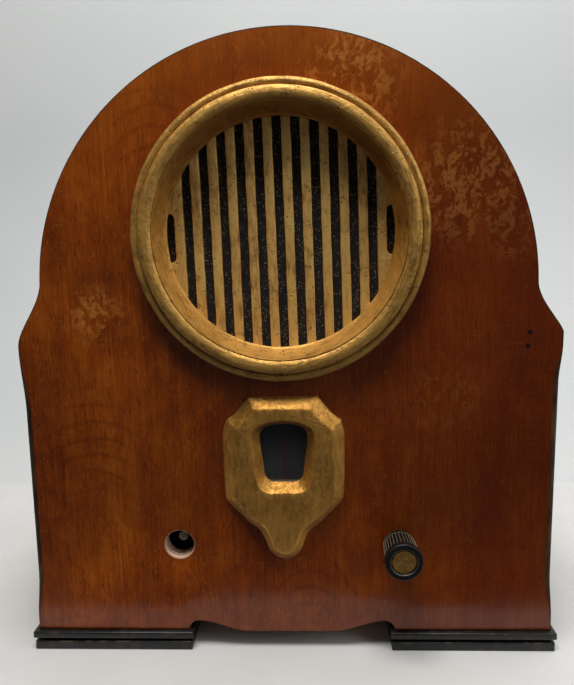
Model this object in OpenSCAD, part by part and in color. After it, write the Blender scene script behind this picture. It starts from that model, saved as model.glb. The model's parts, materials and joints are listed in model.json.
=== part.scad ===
// Arched wooden table radio: veneered front, bent plywood body and a five-valve chassis.
// Lengths are in millimetres. X runs across the front, -Y points out of the front, Z is up.
// The modules measure depth from the front face of the panel; place() then centres the whole.

/* [Cabinet] */
// Width across the straight sides
body_w = 331; // [325:1:337]
// Depth from the front face to the back edge
body_d = 198; // [195:1:205]
// Radius of the arched top
arch_r = 149.5; // [147:0.5:151]
// Height of the centre of the arch
arch_z = 232.5; // [231:0.5:236]
// Thickness of the front panel
panel_t = 12; // [11:0.5:13]
// Thickness of the bent plywood body
wrap_t = 6; // [5:0.5:7]
// Height of the feet
foot_h = 12.4; // [11:0.1:14]
// Width of the stopped chamfer on the front edges
chamfer_w = 5.4; // [3:0.1:8]
// Depth of the stopped chamfer on the front edges
chamfer_d = 6.4; // [4:0.1:8]

/* [Grille] */
// Sideways offset of the grille and dial from the middle of the cabinet
trim_x = -3; // [-4:0.5:0]
// Height of the grille centre
grille_z = 265.5; // [264:0.5:267]
// Radius of the open grille
grille_r = 68.5; // [66:0.5:70]
// Outer radius of the grille bezel
bezel_r = 88; // [87:0.5:90]
// Height of the bezel in front of the panel
bezel_h = 12; // [10:0.5:14]
// Distance from slat to slat
slat_pitch = 11.1; // [10.5:0.1:11.5]
// Width of a slat
slat_w = 5.8; // [5:0.1:6.5]
// Lean of the slats from upright, in degrees
slat_lean = 1.3; // [0:0.1:2]

/* [Dial] */
// Height of the middle of the dial opening
dial_z = 130; // [129:0.5:131]
// Height of the escutcheon in front of the panel
escutcheon_h = 8; // [6:0.5:10]
// Radius of the dial disc
dial_r = 54; // [52:0.5:55]
// Height of the tuning capacitor's shaft
gang_z = 107; // [106.5:0.5:107.5]

/* [Controls] */
// Height of the two control shafts
control_z = 71.2; // [70:0.1:72]
// Distance between the two control shafts
control_gap = 139; // [138:0.5:140]
// Sideways offset of the pair of shafts
control_x = -1; // [-2:0.5:0]
// Radius of the holes for the shafts in the panel
control_hole_r = 9.3; // [8.5:0.1:9.5]
// Largest radius of the knob
knob_r = 11.5; // [11:0.1:12.5]
// Radius of the knob at the panel
knob_base_r = 10.1; // [9.8:0.1:10.5]
// Length of the knob
knob_len = 22; // [20:0.5:24]
// Number of flutes round the knob
flutes = 28; // [24:1:32]

/* [Chassis] */
// Width of the chassis
chassis_w = 270; // [266:1:280]
// Depth of the chassis
chassis_d = 144; // [142:1:146]
// Height of the chassis top
chassis_top = 88; // [87.5:0.5:88.5]
// Radius of the tuning drum at the cord
drum_r = 36; // [36:1:36]
// Radius of the spindle at the cord
spool_r = 3.6; // [3.6:0.1:3.6]

/* [Hidden] */
$fn = 64;
half_w = body_w / 2;
in_w = half_w - wrap_t;
// Lowest and highest point of each shoulder and how hollow its cove is; the right one is cut tighter.
right_shoulder = [205, 236, 0.7];
left_shoulder = [200, 240, 0.85];
floor_t = 10;
floor_top = foot_h + floor_t;
foot_in = 63.5;
foot_out = half_w + 3.1;
foot_front = 3.2;
knob_gap = 2.5;
knob_tip = knob_gap + knob_len;
mid_y = (body_d - knob_tip) / 2;
right_x = control_x + control_gap / 2;
left_x = control_x - control_gap / 2;
shaft_r = 3;
slip = 0.05;
slat_y = 7;
slat_t = 3.5;
back_y = body_d - 8;
back_t = 3;
baffle_y = panel_t;
baffle_t = 8;
frame_y = baffle_y + baffle_t;
chassis_y = 36;
chassis_z = floor_top + 1.6;
sheet_t = 1.2;
drum_y = 25;
disc_y = 15;
gang_y0 = 46;
gang_y1 = 104;
rotor_r = 16.2;
valve_y = 150;
cap_h = 5;
valve_xs = [-108, -60, -12, 38, 88];
valve_rs = [22, 22, 18, 18, 18];
valve_hs = [104, 104, 88, 88, 88];
wood = "saddlebrown";
dark = "darkslategray";
gold = "goldenrod";
steel = "silver";

// ---- shared shapes ----
function smooth(t) = t * t * (3 - 2 * t);
function mirrored(right) = concat(right, [for (i = [len(right) - 1:-1:0]) [-right[i][0], right[i][1]]]);
function reversed(p) = [for (i = [len(p) - 1:-1:0]) p[i]];

// Centres the bounding box front to back.
module place() { translate([0, -mid_y, 0]) children(); }

// Raises an outline drawn in X and Z from depth y0 to depth y0 + h.
module slab(y0, h) { translate([0, y0 + h, 0]) rotate([90, 0, 0]) linear_extrude(h) children(); }

// Turns a profile of [radius, depth] points about a front-to-back axis.
module turned(x, z, points, fn = 96) {
  translate([x, 0, z]) rotate([-90, 0, 0]) rotate_extrude($fn = fn) polygon(points);
}

// A round rod from depth y0 to depth y1.
module rod(x, z, r, y0, y1) { translate([x, y0, z]) rotate([-90, 0, 0]) cylinder(r = r, h = y1 - y0); }

// A box from corner to corner.
module block(from, to) { translate(from) cube(to - from); }

// A box at the right for s = 1, or its mirror image at the left for s = -1.
module side_block(s, from, to) block(
  [min(s * from[0], s * to[0]), from[1], from[2]],
  [max(s * from[0], s * to[0]), to[1], to[2]]
);

// A thin tube of eight sides swept along points.
function unit(v) = v / norm(v);
function along(p, i) = unit(p[min(i + 1, len(p) - 1)] - p[max(i - 1, 0)]);
function ring_at(p, i, r) =
  let (d = along(p, i), u = unit(cross(d, [0.31, 0.52, 0.79])), v = cross(d, u))
  [for (k = [0:7]) p[i] + r * (u * cos(45 * k) + v * sin(45 * k))];
function bend(p, n) = [
  for (s = [0:len(p) - 2]) for (k = [0:n - 1])
    let (t = k / n, a = p[max(s - 1, 0)], b = p[s], c = p[s + 1], d = p[min(s + 2, len(p) - 1)])
    0.5 * (2 * b + (c - a) * t + (2 * a - 5 * b + 4 * c - d) * t * t + (3 * b - a - 3 * c + d) * t * t * t),
  p[len(p) - 1]
];
module tube(p, r) {
  n = len(p);
  polyhedron(
    points = [for (i = [0:n - 1]) each ring_at(p, i, r)],
    faces = concat(
      [[for (k = [7:-1:0]) k]],
      [for (i = [0:n - 2]) for (k = [0:7]) [8 * i + k, 8 * i + (k + 1) % 8, 8 * i + 8 + (k + 1) % 8]],
      [for (i = [0:n - 2]) for (k = [0:7]) [8 * i + k, 8 * i + 8 + (k + 1) % 8, 8 * i + 8 + k]],
      [[for (k = [0:7]) 8 * (n - 1) + k]]
    )
  );
}

// ---- cabinet ----
// One half of the arched outline as if on the right, from its shoulder up to the crown, set in by inset.
function half_arch(shoulder, inset) =
  let (lo = shoulder[0] - 0.9 * inset)
  let (rise = shoulder[1] - shoulder[0], lean = asin((shoulder[1] - arch_z) / arch_r))
  concat(
    [for (i = [0:12]) let (t = i / 12)
      [half_w - inset - (half_w - arch_r * cos(lean)) * pow(smooth(t), shoulder[2]), lo + rise * t]],
    [for (i = [1:29]) let (a = lean + (90 - lean) * i / 29) (arch_r - inset) * [cos(a), sin(a)] + [0, arch_z]]
  );

// The whole outline above a given height, set in by inset.
function arched(inset, bottom) =
  let (left = half_arch(left_shoulder, inset))
  concat(
    [[half_w - inset, bottom]], half_arch(right_shoulder, inset),
    [for (i = [len(left) - 2:-1:0]) [-left[i][0], left[i][1]]], [[inset - half_w, bottom]]
  );

// The skirt's lower edge from the foot to the middle: a small cove, then a long reverse curve.
cusp_x = foot_in - 3.5;
cusp_z = foot_h + 6;
drop_z = foot_h - 1.2;
function skirt() = concat(
  [for (a = [180:-15:90]) [-cusp_x + 6 * cos(a), foot_h + 6 * sin(a)]],
  [for (i = [1:10]) let (t = i / 10) [-cusp_x + 32 * t, cusp_z + (drop_z - cusp_z) * smooth(t)]]
);

module panel_outline() {
  left_skirt = skirt();
  right_skirt = [for (p = reversed(left_skirt)) [-p[0], p[1]]];
  polygon(concat(left_skirt, right_skirt, arched(0, foot_h)));
}

// Right half of the dial opening, narrow at the bottom and arched at the top.
function window(grow) = [
  [9 + grow, -17 - grow], [11.8 + grow, -14.5], [14.8 + grow, 13],
  [13.6 + grow, 16.5 + grow / 2], [10 + grow / 2, 18.5 + grow * 0.7], [4, 20 + grow * 0.8]
];
module window_outline(grow) { translate([trim_x, dial_z]) polygon(mirrored(window(grow))); }

module stopped_chamfer() {
  // Heights along the edge, each with the share of the full chamfer there.
  hull() for (stop = [[20, 0.05], [52, 1], [152, 1], [194, 0.05]]) {
    w = chamfer_w * stop[1];
    d = chamfer_d * stop[1];
    outline = [[1, -1], [-w, -1], [-w, 0], [0, d], [1, d]];
    translate([half_w, 0, stop[0]]) linear_extrude(0.01) polygon(outline);
  }
}

module front_panel() color(wood) difference() {
  slab(0, panel_t) panel_outline();
  rod(trim_x, grille_z, grille_r + 7.5, -1, panel_t + 1);
  slab(-1, panel_t + 2) window_outline(3);
  for (x = [left_x, right_x]) rod(x, control_z, control_hole_r, -1, panel_t + 1);
  for (side = [0, 1]) mirror([side, 0, 0]) stopped_chamfer();
}

module cabinet_wrap() color(dark) slab(panel_t, body_d - panel_t)
  polygon(concat(arched(0, foot_h), reversed(arched(wrap_t, foot_h))));

bolt_xs = [-50, 50];
bolt_ys = [chassis_y + 8, chassis_y + chassis_d - 8];
module cabinet_floor() color(wood) difference() {
  block([-in_w, panel_t, foot_h], [in_w, back_y, floor_top]);
  for (x = bolt_xs, y = bolt_ys) translate([x, y, foot_h - 1]) cylinder(r = 2.6, h = floor_t + 2);
  for (s = [-1, 1]) screw_bores(s);
}

module corner_blocks() color(wood) for (s = [-1, 1])
  side_block(s, [in_w - 10, panel_t, floor_top], [in_w, panel_t + 10, 180]);

cleat_zs = [40, 110, 180];
module back_cleats() color(wood) for (s = [-1, 1]) difference() {
  side_block(s, [in_w - 12, back_y - 12, floor_top], [in_w, back_y, 190]);
  for (z = cleat_zs) rod(s * (in_w - 6), z, 1.5, back_y - 10, back_y + 1);
}

vent_w = 5;
grommet = [-100, 50];
module back_cover() color("peru") difference() {
  slab(back_y, back_t) polygon(arched(wrap_t + 0.5, floor_top - 5.5));
  for (row = [0:2], i = [-5:5])
    slab(back_y - 1, back_t + 2) translate([16 * i, 150 + 70 * row]) square([vent_w, 50], center = true);
  slab(back_y - 1, back_t + 2) translate([85, 50]) square([50, 24], center = true);
  rod(grommet[0], grommet[1], 9, back_y - 1, back_y + back_t + 1);
  for (s = [-1, 1], z = cleat_zs) rod(s * (in_w - 6), z, 2.1, back_y - 1, back_y + back_t + 1);
}

// Round-headed wood screws: six in the back cover and four up through each pair of foot rails.
foot_screw_xs = [80, 150];
foot_screw_ys = [20, 178];
module wood_screws() color("brown") {
  seat_y = back_y + back_t;
  for (s = [-1, 1], z = cleat_zs) {
    rod(s * (in_w - 6), z, 1.5, back_y - 9, seat_y);
    turned(s * (in_w - 6), z, [for (a = [0:15:90]) [3.6 * cos(a), seat_y + 2.2 * sin(a)], [0, seat_y]], 32);
  }
  for (s = [-1, 1], x = foot_screw_xs, y = foot_screw_ys) translate([s * x, y, 0]) {
    translate([0, 0, 1]) cylinder(r = 3.5, h = 2);
    translate([0, 0, 3]) cylinder(r = 1.7, h = 14);
  }
}

module screw_bores(s) for (x = foot_screw_xs, y = foot_screw_ys) translate([s * x, y, -1]) {
  cylinder(r = 3.8, h = 4);
  cylinder(r = 1.75, h = 30);
}
lower_top = 5.9;
rail_bottom = 7.9;
module foot_upper(s) color("black") difference() {
  hull() {
    side_block(s, [foot_in, -foot_front, rail_bottom], [foot_out, body_d, rail_bottom + 3.3]);
    side_block(s, [foot_in, 1.2 - foot_front, rail_bottom], [foot_out - 1.2, body_d, foot_h]);
  }
  screw_bores(s);
}
module foot_lower(s) color("black") difference() {
  union() {
    side_block(s, [foot_in + 1, 0.6 - foot_front, 0], [foot_out - 1, body_d, lower_top]);
    side_block(s, [foot_in + 4, 0.6, lower_top], [foot_out - 4, body_d - 3, rail_bottom]);
  }
  screw_bores(s);
}

// ---- grille and dial trim ----
ridge_r = 80.6;
groove_r = 82.7;
bead_r = 85.2;
module grille_bezel() color(gold) turned(trim_x, grille_z, concat(
  [[grille_r + 7.2, 0], [grille_r + 7.2, slat_y], [grille_r, slat_y], [grille_r, slat_y - 1.5]],
  [for (i = [1:8]) let (t = i / 8)
    [grille_r + (ridge_r - 1.6 - grille_r) * t, slat_y - 1.5 - (bezel_h + slat_y - 3) * pow(t, 1.35)]],
  [for (a = [180:-30:0]) [ridge_r + 1.6 * cos(a), -bezel_h + 1.6 - 1.6 * sin(a)]],
  [[groove_r, -bezel_h + 4]],
  [for (a = [150:-30:0]) [bead_r + 2.8 * cos(a), -bezel_h + 6.3 - 2.8 * sin(a)]],
  [[bezel_r - 0.5, 0]]
), 128);

module slots() intersection() {
  circle(r = grille_r - 0.8, $fn = 96);
  for (i = [-6:6]) translate([i * slat_pitch, 0])
    square([slat_pitch - slat_w, 2 * grille_r], center = true);
}
module grille_slats() color(gold) translate([trim_x, 0, grille_z]) rotate([0, slat_lean, 0])
  slab(slat_y, slat_t) difference() {
    circle(r = grille_r + 7, $fn = 96);
    slots();
  }

cloth_y = slat_y + slat_t;
module grille_cloth() color("black") rod(trim_x, grille_z, grille_r + 6.5, cloth_y, cloth_y + 0.8);

// Right half of the shield-shaped escutcheon, at its foot and at its front face.
shield = [
  [0, -67.8], [5.8, -66.6], [10.8, -61.3], [13, -53], [15.3, -49], [22, -43.5], [25.5, -39.5], [35, -30.5],
  [37, -25], [37.8, 11], [37.4, 17], [35.3, 23], [27.5, 29.8], [21.3, 37.8]
];
shield_face = [
  [0, -61.2], [4, -60.3], [6.5, -57.5], [8.5, -50], [11, -45], [17.5, -39.5], [21.5, -35.5], [28.5, -28],
  [30.5, -24], [30.5, 17], [29, 19], [17.3, 30.6]
];
module dial_escutcheon() color(gold) difference() {
  union() {
    slab(-escutcheon_h / 2, escutcheon_h / 2) translate([trim_x, dial_z]) polygon(mirrored(shield));
    slab(-escutcheon_h, escutcheon_h / 2) translate([trim_x, dial_z]) polygon(mirrored(shield_face));
  }
  hull() {
    slab(-0.01, 0.02) window_outline(0);
    slab(-escutcheon_h - 0.1, 0.1) window_outline(4.5);
  }
  slab(-0.5, 1) window_outline(0);
}
module dial_window() color("lightblue") slab(0, 1) window_outline(2.8);
module dial_hairline() color("red") slab(panel_t, 0.5)
  translate([trim_x, dial_z - 11]) square([1, 30], center = true);

// ---- loudspeaker ----
basket_r = 69;
cone_r = 58;
module speaker_baffle() color(wood) slab(baffle_y, baffle_t) difference() {
  translate([trim_x, grille_z]) square([160, 160], center = true);
  translate([trim_x, grille_z]) circle(r = 61);
}
bolt_ring = 65.5;
function bolt_at(i) = [trim_x, grille_z] + bolt_ring * [cos(45 + 90 * i), sin(45 + 90 * i)];
module speaker_frame() color("dimgray") difference() {
  turned(trim_x, grille_z, [
    [61.5, frame_y], [basket_r, frame_y], [basket_r, frame_y + 3], [62, frame_y + 3], [32, frame_y + 36],
    [32, frame_y + 40], [16, frame_y + 40], [16, frame_y + 36], [29, frame_y + 36], [61, frame_y + 2]]);
  for (i = [0:5]) translate([trim_x, frame_y + 20, grille_z]) rotate([0, 60 * i, 0])
    translate([46, 0, 0]) rotate([-90, 0, 0]) cylinder(r = 9, h = 40, center = true);
  for (i = [0:3]) rod(bolt_at(i)[0], bolt_at(i)[1], 2.1, frame_y - 1, frame_y + 4);
}
module speaker_cone() color("black") turned(trim_x, grille_z, [
  [59.8, frame_y + 0.8], [57, frame_y - 0.4], [54, frame_y + 2], [13.2, frame_y + 28],
  [13.2, frame_y + 29], [54, frame_y + 3.2], [57, frame_y + 0.6], [59.8, frame_y + 1.8]]);
module voice_coil() color("peru") turned(trim_x, grille_z, [
  [12.2, frame_y + 28], [13.2, frame_y + 28], [13.2, frame_y + 46], [12.2, frame_y + 46]]);
module dust_cap() color("black") turned(trim_x, grille_z, concat(
  [for (a = [0:15:90]) [12.2 * cos(a), frame_y + 30 - 5 * sin(a)]],
  [for (a = [90:-15:0]) [11.4 * cos(a), frame_y + 30.6 - 5 * sin(a)]]));
module field_magnet() color("gray") {
  turned(trim_x, grille_z, [[14.2, frame_y + 40], [30, frame_y + 40], [30, frame_y + 84], [0, frame_y + 84],
    [0, frame_y + 42], [11, frame_y + 42], [11, frame_y + 52], [14.2, frame_y + 52]]);
}
module speaker_bolts() color(steel) for (i = [0:3])
  translate([bolt_at(i)[0], 0, bolt_at(i)[1]]) {
    rod(0, 0, 2, frame_y, frame_y + 6);
    difference() {
      translate([0, frame_y + 3, 0]) rotate([-90, 30, 0]) cylinder(r = 4, h = 2.5, $fn = 6);
      rod(0, 0, 2, frame_y - 1, frame_y + 7);
    }
  }

// ---- chassis ----
cx = chassis_w / 2;
cy1 = chassis_y + chassis_d;
module chassis_pan() color("lightgray") difference() {
  block([-cx, chassis_y, chassis_z], [cx, cy1, chassis_top]);
  block([sheet_t - cx, chassis_y + sheet_t, chassis_z + sheet_t],
    [cx - sheet_t, cy1 - sheet_t, chassis_top - sheet_t]);
  block([-cx + 12, chassis_y + 16, chassis_z - 1], [cx - 12, cy1 - 16, chassis_z + 2]);
  for (x = [left_x, right_x]) rod(x, control_z, 4.7, chassis_y - 1, chassis_y + 3);
  for (i = [0:4]) translate([valve_xs[i], valve_y, chassis_top - 3]) cylinder(r = 13, h = 5);
  rod(grommet[0], grommet[1], 7, cy1 - 3, cy1 + 1);
  for (x = bolt_xs, y = bolt_ys) translate([x, y, chassis_z - 1]) cylinder(r = 2.6, h = 4);
}
module chassis_bolts() color(steel) for (x = bolt_xs, y = bolt_ys) translate([x, y, 0]) {
  translate([0, 0, foot_h - 3]) cylinder(r = 5.5, h = 3);
  translate([0, 0, foot_h]) cylinder(r = 2.5, h = 20);
  translate([0, 0, floor_top]) difference() {
    cylinder(r = 7, h = 1.6);
    translate([0, 0, -1]) cylinder(r = 2.5, h = 4);
  }
}

trafo = [-88, 82];
module mains_transformer_core() color("dimgray") translate([trafo[0], trafo[1], chassis_top]) difference() {
  block([-36, -20, 0], [36, 20, 62]);
  for (s = [-1, 1]) side_block(s, [12, -21, 12], [25, 21, 50]);
}
module mains_transformer_coil() color("peru") translate([trafo[0], trafo[1], chassis_top]) difference() {
  block([-24.6, -32, 12.4], [24.6, 32, 49.6]);
  block([-12, -20, 11], [12, 20, 51]);
}
module output_transformer() color("dimgray") translate([108, 62, chassis_top]) {
  block([-20, -12, 0], [20, 12, 34]);
  for (s = [-1, 1]) block([-14, min(s * 12, s * 20), 5], [14, max(s * 12, s * 20), 29]);
}
module filter_capacitors() color("silver") for (x = [45, 75]) translate([x, 58, chassis_top]) {
  cylinder(r = 12, h = 66);
  translate([0, 0, 66]) cylinder(r = 10.5, h = 3);
}
module if_cans() color("silver") for (x = [50, 96]) translate([x, 106, chassis_top])
  block([-17, -17, 0], [17, 17, 72]);

module valve_sockets() color("saddlebrown") for (x = valve_xs) translate([x, valve_y, chassis_top - 6])
  difference() {
    union() {
      cylinder(r = 12.8, h = 9);
      translate([0, 0, 6]) cylinder(r = 16, h = 2);
    }
    translate([0, 0, 2]) cylinder(r = 6, h = 10);
  }
base_z = chassis_top + 3;
module valve_bases() color("black") for (i = [0:4]) translate([valve_xs[i], valve_y, base_z]) {
  cylinder(r = valve_rs[i] - 5, h = 26);
  translate([0, 0, -6]) cylinder(r = 5.8, h = 6);
}
// Shouldered glass bulb, open at the bottom where it meets its base.
module valve_glass(i) color("lightcyan") {
  r = valve_rs[i];
  h = valve_hs[i];
  wall = 1.2;
  profile = [[r - 6.4, 0], [r - 4, 8], [r, 24], [r, h - 60],
    [r - 5, h - 48], [r - 6, h - 36], [r - 10, h - 29], [0.01, h - 26]];
  translate([valve_xs[i], valve_y, base_z + 26]) rotate_extrude($fn = 64) polygon(concat(
    [for (p = profile) [max(p[0], 0), p[1]]],
    [for (k = [len(profile) - 1:-1:0]) [max(profile[k][0] - wall, 0), profile[k][1] - (k > 3 ? wall : 0)]]
  ));
}
// Stem, anode and getter plate of each valve, and the top caps of the three small ones.
module valve_electrodes() color("gray") for (i = [0:4]) translate([valve_xs[i], valve_y, base_z + 26]) {
  cylinder(r = 3.4, h = 12);
  translate([0, 0, 12]) cylinder(r = valve_rs[i] - 10, h = 28);
  translate([0, 0, 40]) cylinder(r = valve_rs[i] - 8, h = 1);
  if (i > 1) translate([0, 0, valve_hs[i] - 26]) cylinder(r = 3.4, h = cap_h);
}

// Screened leads from the tuned circuits to the top caps of three valves.
module grid_leads() color("dimgray") for (i = [2:4]) {
  top = base_z + valve_hs[i] + cap_h;
  x = valve_xs[i];
  tube(bend([[x, valve_y, top], [x - 3, valve_y - 2, top + 8], [x - 13, valve_y - 11, top + 4],
    [x - 22, valve_y - 21, top - 34], [x - 23, valve_y - 23, chassis_top]], 6), 1);
}

// Lead from the output transformer up to the loudspeaker frame.
module speaker_lead() color("brown") tube(bend([[108, 62, chassis_top + 34], [110, 66, 140], [96, 74, 190],
  [60, 80, 232], [trim_x + 28.3, 82, grille_z - 14]], 6), 1.6);

strip_t = 6;
module aerial_terminals() color("saddlebrown") difference() {
  block([65, cy1, 40], [105, cy1 + strip_t, 60]);
  for (x = [73, 85, 97]) rod(x, 50, 2, cy1 - 1, cy1 + strip_t + 1);
}
module mains_grommet() color("black") turned(grommet[0], grommet[1], [
  [3.6, cy1 - 3], [9, cy1 - 3], [9, cy1 - sheet_t], [6.9, cy1 - sheet_t],
  [6.9, cy1], [9, cy1], [9, cy1 + 2.4], [3.6, cy1 + 2.4]], 48);

module paper_capacitors() color("tan") for (i = [0:5])
  translate([-95 + 34 * i, 98, chassis_top - sheet_t - 7]) rotate([-90, 0, 0]) cylinder(r = 7, h = 36);
module resistors() color("brown") for (i = [0:7])
  translate([-90 + 24 * i, 64, chassis_top - sheet_t - 2.8]) rotate([-90, 0, 0]) cylinder(r = 2.8, h = 22);

// ---- tuning ----
gang_half = 24;
plates = 6;
plate_pitch = 3.6;
plate_t = 0.8;
bank_ys = [gang_y0 + 2, gang_y0 + 30];
bank_len = 26;
module gang_frame() color(steel) translate([trim_x, 0, 0]) difference() {
  union() {
    for (y = [gang_y0, gang_y0 + 28, gang_y1 - 2])
      block([-gang_half, y, chassis_top], [gang_half, y + 2, chassis_top + 38]);
    block([-gang_half, gang_y0, chassis_top], [gang_half, gang_y1, chassis_top + 1.5]);
  }
  rod(0, gang_z, shaft_r + slip, gang_y0 - 1, gang_y1 + 1);
}
// Fixed plates on the left of the shaft, each bank on its own insulated bar.
module gang_stators() color("lightgray") translate([trim_x, 0, 0]) for (y = bank_ys) {
  for (k = [0:plates - 1])
    slab(y + 3.6 + k * plate_pitch, plate_t) difference() {
      translate([-21, gang_z - 15]) square([16.5, 30]);
      translate([0, gang_z]) circle(r = 5);
    }
  for (z = [-13, 13]) rod(-19.5, gang_z + z, 1.2, y, y + bank_len);
}
module gang_rotor() color("gainsboro") {
  rod(trim_x, gang_z, shaft_r, disc_y + 1.2, gang_y1 + 3);
  for (y = bank_ys, k = [0:plates - 2])
    translate([trim_x, 0, gang_z]) slab(y + 5.4 + k * plate_pitch, plate_t) difference() {
      intersection() {
        circle(r = rotor_r);
        translate([-20, -0.5]) square([40, 20]);
      }
      circle(r = shaft_r);
    }
}
module dial_disc() color("midnightblue") {
  rod(trim_x, gang_z, dial_r, disc_y, disc_y + 1);
  rod(trim_x, gang_z, 6, disc_y + 1, disc_y + 1.2);
}
module drive_drum() color("peru") turned(trim_x, gang_z, [
  [shaft_r + 0.02, drum_y - 5], [8, drum_y - 5], [8, drum_y - 2], [drum_r + 2.5, drum_y - 2],
  [drum_r + 2.5, drum_y - 1], [drum_r, drum_y - 1], [drum_r, drum_y + 1],
  [drum_r + 2.5, drum_y + 1], [drum_r + 2.5, drum_y + 2],
  [8, drum_y + 2], [8, drum_y + 5], [shaft_r + 0.02, drum_y + 5]], 96);
module loop(grow, y0, h) slab(y0, h) hull() {
  translate([trim_x, gang_z]) circle(r = drum_r + grow, $fn = 96);
  translate([right_x, control_z]) circle(r = spool_r + grow, $fn = 32);
}
module drive_cord() color("khaki") difference() {
  loop(1.2, drum_y - 0.4, 0.8);
  loop(0.4, drum_y - 0.5, 1);
}
module tuning_shaft() color(steel) {
  rod(right_x, control_z, shaft_r, -knob_tip + 5, chassis_y + 22);
  turned(right_x, control_z, [[shaft_r, drum_y - 2], [6, drum_y - 2], [6, drum_y - 1], [spool_r, drum_y - 1],
    [spool_r, drum_y + 1], [6, drum_y + 1], [6, drum_y + 2], [shaft_r, drum_y + 2]], 48);
}
module shaft_bushes() color("gold") for (x = [left_x, right_x]) difference() {
  union() {
    rod(x, control_z, 4.7, chassis_y - 5, chassis_y + 6);
    translate([x, chassis_y - 2.5, control_z]) rotate([-90, 30, 0]) cylinder(r = 7.2, h = 2.5, $fn = 6);
    rod(x, control_z, 7, chassis_y + sheet_t, chassis_y + 3);
  }
  rod(x, control_z, shaft_r + slip, chassis_y - 10, chassis_y + 10);
}
rim_len = 4.2;
grub_r = 1.6;
module tuning_knob() color("black") translate([right_x, -knob_gap, control_z]) rotate([90, 0, 0])
  difference() {
    union() {
      difference() {
        cylinder(r1 = knob_base_r, r2 = knob_r - 0.5, h = knob_len - rim_len + 0.5);
        for (i = [0:flutes - 1]) rotate([0, 0, 360 / flutes * i])
          translate([knob_base_r + 0.6, 0, -1]) rotate([0, 2, 0]) cylinder(r = 0.85, h = knob_len, $fn = 16);
      }
      rotate_extrude($fn = 96) polygon([[0, knob_len - rim_len], [knob_r - 0.2, knob_len - rim_len],
        [knob_r, knob_len - rim_len + 0.6], [knob_r, knob_len - 1.4], [knob_r - 1.2, knob_len],
        [8.2, knob_len], [7.6, knob_len - 1.4], [0, knob_len - 1.4]]);
    }
    translate([0, 0, -1]) cylinder(r = shaft_r + 0.02, h = knob_len - 4);
    translate([0, 0, 6]) rotate([-90, 0, 0]) cylinder(r = grub_r, h = 20);
  }
module knob_badge() color("darkgoldenrod") rod(right_x, control_z, 7.3, -knob_tip + 0.5, -knob_tip + 1.4);
module knob_grub_screw() color(steel) translate([right_x, -knob_gap - 6, control_z + shaft_r]) difference() {
  cylinder(r = grub_r, h = 5);
  translate([-0.3, -2, 4]) cube([0.6, 4, 2]);
}
pot_r = 14.5;
module volume_control() color("dimgray") difference() {
  rod(left_x, control_z, pot_r, chassis_y + 6, chassis_y + 20);
  rod(left_x, control_z, shaft_r + slip, chassis_y, chassis_y + 14);
}
module volume_shaft() color(steel) rod(left_x, control_z, shaft_r, panel_t + 1, chassis_y + 13);

lamp_z = dial_z + 23.5;
module dial_lamp() color("lightyellow") turned(trim_x, lamp_z, concat(
  [for (a = [90:-15:-60]) [5.2 * cos(a), drum_y - 1 - 5.2 * sin(a)]],
  [[2.6, drum_y + 8.2], [0, drum_y + 8.2]]), 48);
module dial_lamp_holder() color(steel) {
  turned(trim_x, lamp_z, [[2.6, drum_y + 6], [5, drum_y + 6], [5, gang_y0 - 3],
    [0, gang_y0 - 3], [0, drum_y + 8.2], [2.6, drum_y + 8.2]], 48);
  block([trim_x + 8, gang_y0 - 3, chassis_top + 10], [trim_x + 14, gang_y0, lamp_z + 5]);
  block([trim_x - 5, gang_y0 - 3, lamp_z - 5], [trim_x + 14, gang_y0 - 1.8, lamp_z + 5]);
}

place() front_panel();
place() cabinet_wrap();
place() cabinet_floor();
place() corner_blocks();
place() back_cleats();
place() back_cover();
place() wood_screws();
place() foot_upper(-1);  // foot_left_upper
place() foot_lower(-1);  // foot_left_lower
place() foot_upper(1);  // foot_right_upper
place() foot_lower(1);  // foot_right_lower
place() grille_bezel();
place() grille_slats();
place() grille_cloth();
place() dial_escutcheon();
place() dial_window();
place() dial_hairline();
place() speaker_baffle();
place() speaker_frame();
place() speaker_cone();
place() voice_coil();
place() dust_cap();
place() field_magnet();
place() speaker_bolts();
place() chassis_pan();
place() chassis_bolts();
place() mains_transformer_core();
place() mains_transformer_coil();
place() output_transformer();
place() filter_capacitors();
place() if_cans();
place() valve_sockets();
place() valve_bases();
place() valve_electrodes();
place() valve_glass(0);  // rectifier_glass
place() valve_glass(1);  // output_glass
place() valve_glass(2);  // detector_glass
place() valve_glass(3);  // if_amplifier_glass
place() valve_glass(4);  // mixer_glass
place() grid_leads();
place() speaker_lead();
place() aerial_terminals();
place() mains_grommet();
place() paper_capacitors();
place() resistors();
place() gang_frame();
place() gang_stators();
place() gang_rotor();
place() dial_disc();
place() drive_drum();
place() drive_cord();
place() tuning_shaft();
place() shaft_bushes();
place() tuning_knob();
place() knob_badge();
place() knob_grub_screw();
place() volume_control();
place() volume_shaft();
place() dial_lamp();
place() dial_lamp_holder();
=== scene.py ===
"""An arched wooden table radio: varnished veneer, aged gilt trim, a fluted bakelite knob.

Every length is in metres in the CAD frame: X across the front, +Y to the back, Z up.
"""
import json
import math
import random

import bmesh
import bpy
from mathutils import Matrix, Vector, noise


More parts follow.
